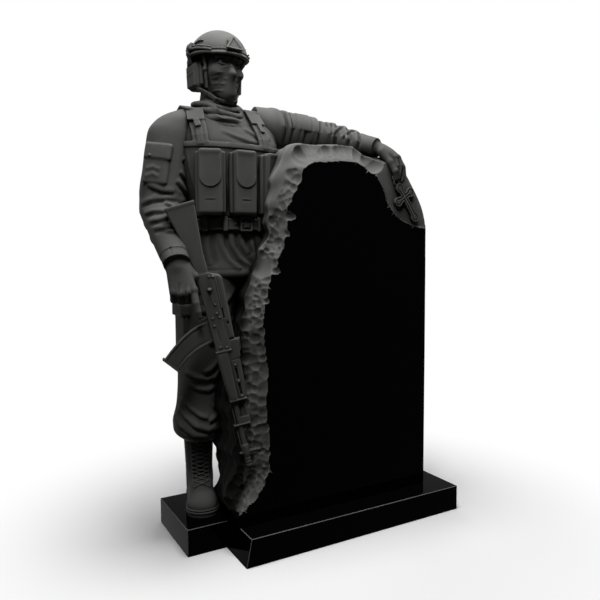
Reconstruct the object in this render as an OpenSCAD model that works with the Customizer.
// War memorial headstone: a polished stele and a soldier carved from one block, on an L-shaped plinth.
// Millimetres. X to the right along the front, Y to the back, Z up.
// The origin is the centre of the plinth's underside.

/* [Plinth] */
// Width of the plinth along the front
plinth_w = 1116; // [1000:4:1300]
// Depth of the plinth, front to back
plinth_d = 503; // [440:1:600]
// Height of the plinth
plinth_h = 100; // [60:1:150]
// Width of the notch cut out of the front left corner, at the underside
notch_w = 147; // [100:1:180]
// Depth of the notch, front to back
notch_d = 176.5; // [120:0.5:210]
// How far the notch's end face leans to the right over the plinth's height
notch_lean = 20; // [0:1:30]

/* [Stele] */
// Distance from the plinth's centre to the stele's right side
stele_right = 458; // [380:1:500]
// Distance from the plinth's front to the polished face
stele_setback = 94; // [60:1:120]
// Thickness of the stele
stele_t = 250; // [210:1:300]
// Height of the straight right side above the plinth
side_h = 1075; // [900:5:1150]
// Height of the stele's crest above the plinth
crest_h = 1345; // [1300:5:1400]
// Width of the band that slopes back from the polished face, along the top
bevel = 46; // [30:1:60]
// Deepest chip in the rock edge
chip = 16; // [4:1:24]

/* [Soldier] */
// Height of the soldier from the soles to the helmet's crown
soldier_h = 1795; // [1700:5:1900]
// Distance from the plinth's centre to the soldier's middle, towards the left
soldier_x = 296; // [280:1:310]
// Distance of the soldier's middle behind the plinth's centre
soldier_y = 104; // [95:1:115]
// How far the head is turned towards the stele, in degrees
head_turn = 9; // [0:1:20]
// How far the right foot is turned out, in degrees
foot_turn = 16; // [5:1:25]
// Depth of the folds in sleeves and trousers, as a share of the limb's radius
fold = 0.05; // [0.01:0.01:0.08]
// Width of one magazine pouch
pouch_w = 88; // [70:1:100]
// Height of one magazine pouch
pouch_h = 224; // [180:1:240]

/* [Rifle] */
// Length of the rifle, from the butt to the muzzle
rifle_l = 940; // [850:5:1000]
// Height of the receiver, seen from the side
receiver_h = 72; // [55:1:80]
// Thickness of the receiver
receiver_t = 44; // [30:1:60]

/* [Hidden] */
granite = "dimgray";
polished = "black";

// The soldier is laid out for a height of 1795, with its middle at the origin of its soles.
s = soldier_h / 1795;
stele_y = stele_setback - plinth_d / 2;
ring_n = 12;
limb_rings = 2;

// Joints of the soldier: [x, y, z] from the middle, above the soles.
shoulder_r = [-232, 10, 1440];
elbow_r = [-290, 2, 1150];
wrist_r = [-286, -160, 972];
shoulder_l = [176, 4, 1476];
elbow_l = [446, -20, 1450];
wrist_l = [524, -206, 1392];
hip_r = [-86, 10, 880];
knee_r = [-152, -20, 510];
ankle_r = [-124, 66, 130];
hip_l = [88, 14, 880];
knee_l = [84, 16, 510];
ankle_l = [82, 70, 130];
head_c = [-40, -14, 1668];
// Rear of the receiver, the way towards the muzzle, and the side of the rifle that shows.
receiver_c = [-173, -194, 902];
barrel_dir = [0.197, -0.05, -0.98];
rifle_side = [-0.30, -0.953, 0];

function unit(v) = v / norm(v);
function mix(a, b, t) = a + (b - a) * t;
function ease(t) = t * t * (3 - 2 * t);
// A repeatable uneven value from -1 to 1 for a whole number pair.
function rough(i, j) = sin(i * 157.3 + j * 61.7) * 0.6 + sin(i * 71.9 - j * 203.1) * 0.4;

// A closed skin over rings that all have the same number of points.
module skin(rings) {
    n = len(rings[0]);
    m = len(rings);
    side = [for (k = [0:m - 2], i = [0:n - 1])
        let (j = (i + 1) % n)
        each [[k * n + i, (k + 1) * n + j, k * n + j], [k * n + i, (k + 1) * n + i, (k + 1) * n + j]]];
    foot = [[for (i = [0:n - 1]) i]];
    top = [[for (i = [n - 1:-1:0]) (m - 1) * n + i]];
    polyhedron([for (r = rings) each r], concat(side, foot, top));
}

// One ring around c: u and v span it, a and b are its half sizes, f its fold depth.
function ring(c, u, v, a, b, f = 0, ph = 0) =
    [for (i = [0:ring_n - 1])
        let (w = 360 * i / ring_n, k = 1 + f * sin(2 * w + ph) + f * sin(3 * w - ph))
        c + u * a * k * cos(w) + v * b * k * sin(w)];

// A limb through stations [centre, half width, half depth], from high to low,
// with uneven folds where wrinkled is true.
module limb(stations, across, wrinkled = true) {
    last = len(stations) - 1;
    skin([for (k = [0:last], j = [0:(k < last ? limb_rings - 1 : 0)])
        let (
            p = stations[k],
            q = stations[min(k + 1, last)],
            o = stations[max(k - 1, 0)],
            r = stations[min(k + 2, last)],
            t = j / limb_rings,
            way = unit(mix(unit(q[0] - o[0]), unit(k < last ? r[0] - p[0] : q[0] - o[0]), t)),
            u = unit(across - way * (across * way)),
            v = cross(way, u),
            f = wrinkled ? fold * (0.5 + 0.5 * sin(j * 210 + k * 75)) : 0,
            a = mix(p[1], q[1], ease(t)) * (1 + (wrinkled ? 0.6 * fold * sin(j * 144 + k * 60) : 0)),
            b = mix(p[2], q[2], ease(t)))
        ring(mix(p[0], q[0], t), u, v, a, b, f, j * 70 + k * 130)]);
}

// A body drawn between two balls.
module bar(p, q, rp, rq, n = 7) {
    hull() {
        translate(p) sphere(rp, $fn = n);
        translate(q) sphere(rq, $fn = n);
    }
}

// A block with softened edges, centred on its own middle.
module slab_block(size, r = 6) {
    hull() {
        cube([size.x, size.y - 2 * r, size.z - 2 * r], center = true);
        cube([size.x - 2 * r, size.y, size.z - 2 * r], center = true);
        cube([size.x - 2 * r, size.y - 2 * r, size.z], center = true);
    }
}

// Puts its children in a frame given by three unit vectors and a place.
module at(p, x, y, z) {
    multmatrix([
        [x.x, y.x, z.x, p.x],
        [x.y, y.y, z.y, p.y],
        [x.z, y.z, z.z, p.z],
        [0, 0, 0, 1]])
        children();
}

// ---- Plinth ----

module plinth() {
    color(polished)
    difference() {
        translate([-plinth_w / 2, -plinth_d / 2, 0]) cube([plinth_w, plinth_d, plinth_h]);
        translate([-plinth_w / 2 - 1, -plinth_d / 2 + notch_d, 0])
            rotate([90, 0, 0])
                linear_extrude(notch_d + 1)
                    polygon([
                        [0, -1],
                        [notch_w + 1 - notch_lean / plinth_h, -1],
                        [notch_w + 1 + notch_lean * (1 + 1 / plinth_h), plinth_h + 1],
                        [0, plinth_h + 1]]);
    }
}

// ---- Stele ----

crest_z = plinth_h + crest_h;
side_z = plinth_h + side_h;
left_x = -290;
left_foot = notch_w + notch_lean - plinth_w / 2 - 1;
field_rows = 24;
left_end_z = crest_z - 90;

// Left end of the polished field at height z: wide at the foot, then upright, then sweeping in to the crest.
function field_left(z) =
    let (
        low = min(1, max(0, (z - plinth_h) / 175)),
        high = min(1, max(0, (z - crest_z + 460) / 460)))
    left_x + (left_foot - left_x) * pow(1 - low, 1.2) + 185 * pow(high, 1.7);

// How much further left the rock side swells, low down.
function swell(z) = (34 + 56 * ease(min(1, max(0, (crest_z - 480 - z) / 560))))
    * ease(min(1, (z - plinth_h + 14) / 96));

function chipped(i, j) = i == 0 ? 0 : chip * rough(i, j);

// The crest and the right shoulder: [x, drop below the crest].
field_top = [
    [-100, 24], [-20, 9], [60, 0], [125, 10], [174, 28], [210, 60], [238, 106], [262, 158], [300, 198], [357, 226]];
body_top = [
    [-150, -10], [-60, -34], [60, -40], [150, -38], [245, -22], [312, 6], [340, 32], [376, 68], [410, 116],
    [438, 176]];
// How much the slope of the band counts at x: full at the left, nearly flush on the right shoulder.
function band(x) = mix(1, 0.25, ease(min(1, max(0, (x - 120) / 200))));
// Raises the top under the arm.
function bump(x) = max(0, 1 - pow((x - 60) / 260, 2));

function row_z(i) = mix(plinth_h, left_end_z, i / field_rows);
// One outline of the block, at a depth behind the polished face.
function outline(push, top, seed, depth, lift = 0) = concat(
    [for (i = [0:field_rows])
        let (z = row_z(i))
        [field_left(z) - push * swell(z) + chipped(i, seed), stele_y + depth, z]],
    [for (p = top)
        [min(p.x, stele_right - 6),
         stele_y + (depth == bevel ? depth * band(p.x) : depth),
         crest_z - p.y + lift * bump(p.x)]],
    [[stele_right, stele_y + depth, side_z], [stele_right, stele_y + depth, plinth_h]]);

// The block: polished field, the band that slopes back from it, the rock side and the plain back.
module stele() {
    skin([
        outline(0, field_top, 3, 0),
        outline(1, body_top, 8, bevel),
        outline(1.15, body_top, 5, bevel + 60, 8),
        outline(1.1, body_top, 9, bevel + 130, 28),
        outline(0.9, body_top, 2, stele_t, 34)]);
}

// The tip of the rock edge, which hangs down in the plinth's notch against its two faces.
module tip() {
    foot_x = notch_w - plinth_w / 2;
    top_x = foot_x + notch_lean;
    back_y = notch_d - plinth_d / 2;
    low = 2;
    root = 8;
    rim = [[top_x, stele_y], [top_x, back_y], [top_x - 16, back_y]];
    polyhedron(
        concat(
            [for (p = rim) [p.x, p.y, plinth_h]],
            [[foot_x + notch_lean * low / plinth_h, back_y, low]],
            [for (p = rim) [p.x, p.y, plinth_h + root]]),
        [[1, 3, 0], [3, 2, 0], [2, 3, 1], [1, 0, 4, 5], [0, 2, 6, 4], [2, 1, 5, 6], [6, 5, 4]]);
    hull() {
        translate([top_x + 1, stele_y + 3, plinth_h]) cube([8, 8, 40]);
        translate([top_x - 13, back_y + 1, plinth_h]) cube([40, 14, 50]);
        translate([top_x - 13, back_y - 30, plinth_h + 3]) cube([40, 14, 50]);
    }
}

// ---- Soldier ----

// The slope from the neck out to the shoulders.
module shoulders() {
    for (p = [shoulder_r, shoulder_l])
        bar([p.x * 0.28, 8, 1496], p + [-sign(p.x) * 30, 0, 16], 62, 58, 12);
}

// Half widths and half depths of the trunk: [x, y, z, half width, half depth].
trunk = [
    [-4, 8, 1512, 66, 62],
    [-6, 6, 1490, 112, 76],
    [-8, 6, 1452, 200, 100],
    [-10, 2, 1400, 210, 120],
    [-12, 0, 1330, 214, 132],
    [-8, 0, 1230, 194, 128],
    [2, 0, 1125, 152, 120],
    [4, 0, 1082, 146, 116],
    [6, 2, 1030, 160, 122],
    [6, 4, 960, 172, 128],
    [4, 6, 895, 184, 134],
    [2, 10, 880, 158, 118],
    [0, 14, 780, 130, 96]];

module torso() {
    rings = [for (k = [0:len(trunk) - 1], half = [0, 1])
        if (k < len(trunk) - 1 || half == 0)
        let (
            q = trunk[min(k + 1, len(trunk) - 1)],
            st = mix(trunk[k], q, half / 2),
            f = k > 6 && k < 10 ? fold * 0.8 : 0)
        ring([st.x, st.y, st.z], [1, 0, 0], [0, -1, 0], st[3], st[4], f * (half + 0.4), k * 80 + half * 50)];
    skin(rings);
}

// The vest over the trunk, its three magazine pouches, shoulder straps and the belt.
module vest() {
    vest_z = 1095;
    hull() {
        translate([-8, 0, vest_z + 5]) scale([188, 138, 1]) cylinder(r = 1, h = 10, $fn = 24);
        translate([-10, 0, vest_z + 250]) scale([216, 146, 1]) cylinder(r = 1, h = 10, $fn = 24);
    }
    for (k = [-1:1])
        translate([-12 + k * 118, -138 + 42 * abs(k), vest_z + pouch_h / 2 + 16])
            rotate([0, 0, k * 32]) {
                slab_block([pouch_w, 66, pouch_h], 8);
                translate([0, -6, pouch_h * 0.16]) slab_block([pouch_w + 4, 66, pouch_h * 0.72], 10);
            }
    for (k = [-1, 1]) {
        front = [-12 + k * 118, -112, vest_z + 250];
        over = [-8 + k * 108, -34, 1506];
        back = [-10 + k * 100, 112, vest_z + 240];
        strap(front, over, 26);
        strap(over, back, 26);
    }
    translate([3, 0, 1060]) scale([155, 126, 1]) cylinder(r = 1, h = 44, $fn = 24);
    translate([-2, -128, 1082]) slab_block([62, 18, 52], 5);
}

module strap(p, q, w) {
    hull() {
        translate(p) cube([2 * w, 12, 12], center = true);
        translate(q) cube([2 * w, 12, 12], center = true);
    }
}

module head() {
    translate(head_c) rotate([0, 0, head_turn]) {
        // Skull, mask and jaw
        hull() {
            scale([76, 96, 100]) sphere(1, $fn = 14);
            translate([0, -52, -70]) scale([44, 42, 46]) sphere(1, $fn = 10);
        }
        // Nose under the mask
        hull() {
            translate([0, -92, -14]) sphere(7, $fn = 6);
            translate([0, -100, -48]) sphere(12, $fn = 6);
        }
        // Helmet shell and brim
        difference() {
            union() {
                translate([0, 6, 4]) scale([117, 134, 123]) sphere(1, $fn = 20);
                hull() {
                    translate([0, -118, 4]) scale([60, 22, 6]) sphere(1, $fn = 10);
                    translate([0, -60, 12]) scale([110, 20, 6]) sphere(1, $fn = 10);
                }
            }
            translate([0, -120, -92]) cube([300, 240, 180], center = true);
            translate([0, 100, -150]) cube([300, 240, 180], center = true);
        }
        // Fixing plate on the brow and rails at the sides
        translate([0, -116, 58]) rotate([-28, 0, 0]) slab_block([52, 18, 62], 6);
        for (k = [-1, 1]) {
            translate([k * 108, -6, 18]) rotate([0, 0, k * 4]) slab_block([20, 110, 28], 6);
            // Ear cups
            translate([k * 92, 34, -46]) hull() {
                translate([0, 0, 22]) scale([22, 40, 40]) sphere(1, $fn = 10);
                translate([0, 0, -22]) scale([22, 36, 38]) sphere(1, $fn = 10);
            }
            // Chin strap
            bar([k * 82, 4, -60], [k * 26, -66, -112], 9, 9, 6);
        }
    }
    // Gaiter around the neck, in loose rolls
    for (k = [0:4])
        translate(mix([-4, 4, 1508], head_c + [4, -4, -92], k / 4))
            scale([88 - 5 * k + 4 * (k % 2), 82 - 3 * k + 4 * (k % 2), 24]) sphere(1, $fn = 12);
}

module arm_r() {
    limb([
        [shoulder_r + [84, 0, 46], 36, 50],
        [shoulder_r + [34, 0, 34], 66, 72],
        [shoulder_r + [-4, 0, -24], 84, 86],
        [mix(shoulder_r, elbow_r, 0.35), 82, 84],
        [mix(shoulder_r, elbow_r, 0.7), 72, 74],
        [elbow_r, 66, 68],
        [mix(elbow_r, wrist_r, 0.3), 66, 66],
        [mix(elbow_r, wrist_r, 0.65), 58, 60],
        [mix(elbow_r, wrist_r, 0.84), 50, 52],
        [mix(elbow_r, wrist_r, 0.88), 55, 57],
        [mix(elbow_r, wrist_r, 1.02), 47, 50]],
        [1, 0, 0]);
    // Sleeve pocket
    translate(mix(shoulder_r, elbow_r, 0.42) + [-62, -30, 0]) rotate([0, 10, -28]) slab_block([42, 96, 150], 8);
}

module hand_r() {
    palm = wrist_r + [-14, -16, -70];
    bar(wrist_r, palm + [0, 0, 20], 32, 34);
    hull() {
        translate(palm + [0, 10, 30]) sphere(32, $fn = 8);
        translate(palm + [4, 4, -50]) sphere(30, $fn = 8);
        translate(palm + [-2, -22, -20]) sphere(26, $fn = 8);
    }
    // Fingers around the grip
    for (k = [0:2]) {
        base = palm + [-10, -34, -6 - 24 * k];
        bar(base, base + [44, -22, -12], 14, 12, 6);
        bar(base + [44, -22, -12], base + [66, 6, -14], 12, 11, 6);
    }
    bar(palm + [0, -24, 6], palm + [84, -34, -62], 13, 10, 6);
}

module arm_l() {
    limb([
        [shoulder_l + [-40, 6, -30], 70, 84],
        [shoulder_l + [14, 0, 4], 74, 66],
        [mix(shoulder_l, elbow_l, 0.3), 70, 62],
        [mix(shoulder_l, elbow_l, 0.65), 64, 56],
        [elbow_l, 62, 54],
        [mix(elbow_l, wrist_l, 0.4), 56, 46],
        [mix(elbow_l, wrist_l, 0.72), 48, 38],
        [mix(elbow_l, wrist_l, 0.77), 53, 43],
        [mix(elbow_l, wrist_l, 1), 44, 34]],
        [0, 1, 0]);
    // Hand laid over the shoulder of the stone
    knuckle = wrist_l + [62, -44, -36];
    hull() {
        translate(wrist_l) scale([30, 34, 26]) sphere(1, $fn = 8);
        translate(knuckle + [8, 22, 0]) sphere(20, $fn = 8);
        translate(knuckle + [-32, -10, -14]) sphere(18, $fn = 8);
    }
    for (k = [0:3]) {
        base = knuckle + [12 - 14 * k, 16 - 10 * k, -2 - 4 * k];
        bend = base + [14 - 3 * k, -14, -42];
        bar(base, bend, 13, 11, 6);
        bar(bend, bend + [-14, -2, -36], 11, 9, 6);
    }
    bar(wrist_l + [6, -30, -14], knuckle + [-44, -14, -66], 15, 10, 6);
    // Small cross held by its ring
    cross_c = knuckle + [49, -8, -164];
    translate(cross_c) rotate([0, -28, 0]) {
        slab_block([18, 34, 128], 4);
        translate([0, 0, 14]) slab_block([68, 34, 18], 4);
        for (p = [[0, 66], [0, -66], [-34, 14], [34, 14]])
            translate([p.x, 0, p.y]) scale([14, 17, 14]) sphere(1, $fn = 7);
        translate([0, 0, 84]) scale([12, 14, 12]) sphere(1, $fn = 7);
    }
}

module leg(hip, knee, ankle, turn) {
    limb([
        [hip + [0, 2, 0], 100, 112],
        [mix(hip, knee, 0.25), 94, 104],
        [mix(hip, knee, 0.6), 80, 88],
        [knee + [0, 0, 10], 70, 74],
        [mix(knee, ankle, 0.3), 68, 76],
        [mix(knee, ankle, 0.6) + [0, 0, 0], 74, 80],
        [mix(knee, ankle, 0.68) + [0, 0, -6], 64, 68]],
        [1, 0, 0]);
    // Cargo pocket
    translate(mix(hip, knee, 0.26) + [sign(hip.x) * 88, -4, 0]) slab_block([36, 110, 170], 8);
    // Boot: shaft, foot and sole
    limb([
        [mix(knee, ankle, 0.62), 54, 60],
        [mix(knee, ankle, 0.85), 50, 56],
        [ankle + [0, 0, -20], 46, 62]],
        [1, 0, 0], false);
    translate([ankle.x, ankle.y, 0]) rotate([0, 0, turn]) {
        hull() {
            translate([0, 20, 62]) scale([42, 46, 60]) sphere(1, $fn = 10);
            translate([0, -140, 32]) scale([52, 62, 34]) sphere(1, $fn = 10);
            translate([0, 10, 20]) scale([40, 52, 20]) sphere(1, $fn = 10);
        }
        hull() {
            translate([0, -145, 0]) scale([56, 62, 1]) cylinder(r = 1, h = 24, $fn = 20);
            translate([0, 24, 0]) scale([42, 44, 1]) cylinder(r = 1, h = 24, $fn = 20);
        }
    }
}

module legs() {
    leg(hip_r, knee_r, ankle_r, -foot_turn);
    leg(hip_l, knee_l, ankle_l, 8);
}

// ---- Rifle ----

barrel_way = unit(barrel_dir);
side_way = unit(rifle_side - barrel_way * (rifle_side * barrel_way));
down_way = cross(barrel_way, side_way).x < 0 ? cross(barrel_way, side_way) : -cross(barrel_way, side_way);

// Drawn along its own X towards the muzzle, with Y towards the magazine and Z out of the visible side.
module rifle() {
    k = rifle_l / 940;
    h = receiver_h;
    at(receiver_c, barrel_way, down_way, side_way) {
        translate([132 * k, 0, 0]) slab_block([276 * k, h, receiver_t], 8);
        translate([362 * k, -4, 0]) slab_block([190 * k, h * 0.72, receiver_t + 4], 10);
        bar([430 * k, 4, 0], [700 * k, 4, 0], 11, 11, 10);
        bar([430 * k, -22, 0], [560 * k, -22, 0], 12, 10, 10);
        translate([560 * k, -8, 0]) slab_block([34, 44, 24], 4);
        translate([664 * k, -10, 0]) slab_block([16, 56, 20], 4);
        bar([650 * k, 4, 0], [705 * k, 4, 0], 15, 15, 10);
        // Stock
        hull() {
            translate([0, 4, 0]) cube([10, h * 0.62, receiver_t - 6], center = true);
            translate([-240 * k, 44, 0]) rotate([0, 0, 8]) cube([8, 112, receiver_t - 4], center = true);
        }
        // Grip
        hull() {
            translate([50 * k, h * 0.4, 0]) cube([44, 10, 30], center = true);
            translate([18 * k, h * 0.4 + 84, 0]) cube([40, 10, 30], center = true);
        }
        // Magazine, in curved steps
        for (j = [0:3])
            hull() for (e = [j, j + 1])
                translate([(196 + 3.4 * e * e) * k, h * 0.35 + 47 * e, 0])
                    rotate([0, 0, 9 * e]) cube([66, 6, 30], center = true);
    }
}

module soldier() {
    translate([-soldier_x, soldier_y, plinth_h]) scale(s) {
        torso();
        shoulders();
        vest();
        head();
        arm_r();
        hand_r();
        arm_l();
        legs();
        rifle();
    }
}

module memorial_stone() {
    color(granite) {
        stele();
        tip();
        soldier();
    }
}

plinth();
memorial_stone();
